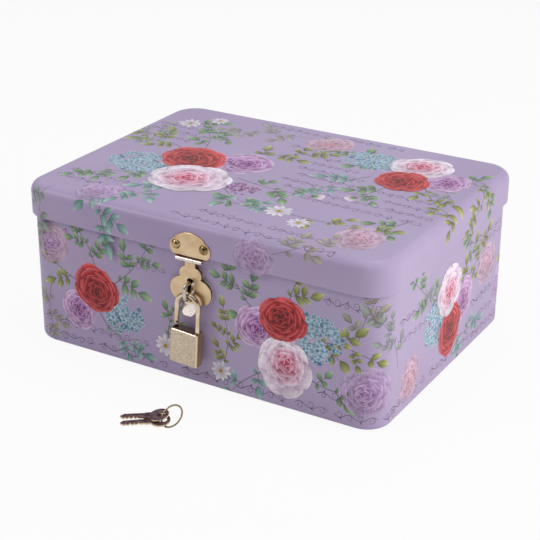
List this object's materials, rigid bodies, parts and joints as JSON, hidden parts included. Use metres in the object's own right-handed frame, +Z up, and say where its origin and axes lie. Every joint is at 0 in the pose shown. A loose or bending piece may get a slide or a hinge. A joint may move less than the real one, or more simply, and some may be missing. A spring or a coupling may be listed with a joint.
{
  "type": "keepsake tin with padlock",
  "caption": "Oblong printed tin box with an overlapping rear-hinged lid, a front hasp and staple, a small popped-open padlock and loose keys on a wire ring.",
  "frame": {"origin": "middle of the body's base, on the table that the tin stands on", "axes": "+Z up, -Y towards the front with the hasp, +X to the right seen from the front"},
  "size_m": [0.204, 0.2041, 0.0853],
  "materials": {
    "printed_tin": null,
    "bare_tin": "bare rolled tinplate, satin",
    "pale_brass_plate": "pale brass plating, satin, with bright rolled edges",
    "polished_brass": "polished pale brass dome heads",
    "nickel_plate": "bright nickel plate",
    "shackle_chrome": "bright plated wire, slightly warm",
    "padlock_brass": "pale brass, fine brushed, with polished edges",
    "plug_brass": "turned brass",
    "steel_wire": "plain steel",
    "ring_wire": "thin dull brown gold wire",
    "key_metal": "dull grey plating with worn warm cut edges"
  },
  "bodies": {
    "tin": {"body_shell": "printed_tin", "floor_panel": "bare_tin", "staple_plate": "nickel_plate", "staple_rivets": "nickel_plate", "staple_loop": "nickel_plate", "hinge_body_leaf_left": "pale_brass_plate", "hinge_body_leaf_right": "pale_brass_plate", "hinge_pin_left": "steel_wire", "hinge_pin_right": "steel_wire", "hinge_body_rivets": "polished_brass"},
    "lid": {"lid_shell": "printed_tin", "hasp_plate": "pale_brass_plate", "hasp_rivets": "polished_brass", "hasp_pin": "steel_wire", "hinge_lid_leaf_left": "pale_brass_plate", "hinge_lid_leaf_right": "pale_brass_plate", "hinge_lid_rivets": "polished_brass"},
    "hasp": {"hasp_leaf": "pale_brass_plate"},
    "shackle": {"shackle": "shackle_chrome"},
    "spring_cap": {"spring_cap": "steel_wire"},
    "lock_case": {"padlock_case": "padlock_brass", "heel_pin": "steel_wire", "plug_pin": "steel_wire", "shackle_spring": "steel_wire"},
    "plug": {"lock_plug": "plug_brass", "lock_wafers": "plug_brass"},
    "bolt": {"latch_bolt": "steel_wire"},
    "ring": {"key_ring": "ring_wire"},
    "key_upper": {"key_upper": "key_metal"},
    "key_lower": {"key_lower": "key_metal"}
  },
  "joints": [
    {"name": "lid_hinge", "type": "hinge", "parent": "tin", "child": "lid", "pos_m": [0, 0.0772, 0.0669], "axis": [-1, 0, 0], "range_deg": [0, 100]},
    {"name": "padlock_off", "type": "slide", "parent": "tin", "child": "shackle", "axis": [0, -1, 0], "range_m": [0, 0.075]},
    {"name": "hasp_swing", "type": "hinge", "parent": "lid", "child": "hasp", "pos_m": [0, -0.0772, 0.0669], "axis": [-1, 0, 0], "range_deg": [0, 140]},
    {"name": "case_turn", "type": "hinge", "parent": "shackle", "child": "spring_cap", "pos_m": [0.00515, -0.0792, 0.02966], "axis": [0.061, 0, 0.9981], "range_deg": [0, 180]},
    {"name": "case_lift", "type": "slide", "parent": "spring_cap", "child": "lock_case", "axis": [0.061, 0, 0.9981], "range_m": [0, 0.0045], "deforming": ["shackle_spring"]},
    {"name": "plug_turn", "type": "hinge", "parent": "lock_case", "child": "plug", "pos_m": [-0.00145, -0.0792, 0.02004], "axis": [0.061, 0, 0.9981], "range_deg": [0, 90]},
    {"name": "latch_slide", "type": "slide", "parent": "lock_case", "child": "bolt", "axis": [-0.9981, 0, 0.061], "range_m": [0, 0.0009]},
    {"name": "ring_lift", "type": "slide", "parent": "tin", "child": "ring", "axis": [0, 0, 1], "range_m": [0, 0.06]},
    {"name": "key_upper_swing", "type": "hinge", "parent": "ring", "child": "key_upper", "pos_m": [0.0064, -0.11231, 0.0026], "axis": [-0.1209, -0.0503, 0.9914], "range_deg": [-12, 0]},
    {"name": "key_lower_swing", "type": "hinge", "parent": "ring", "child": "key_lower", "pos_m": [0.0083, -0.11395, 0.0012], "axis": [-0.0499, -0.0342, 0.9982], "range_deg": [0, 12]}
  ],
  "couplings": [
    {"joint": "hasp_swing", "follows": "padlock_off", "rad_per_m": 32.57},
    {"joint": "plug_turn", "follows": "latch_slide", "rad_per_m": 1745.3}
  ]
}
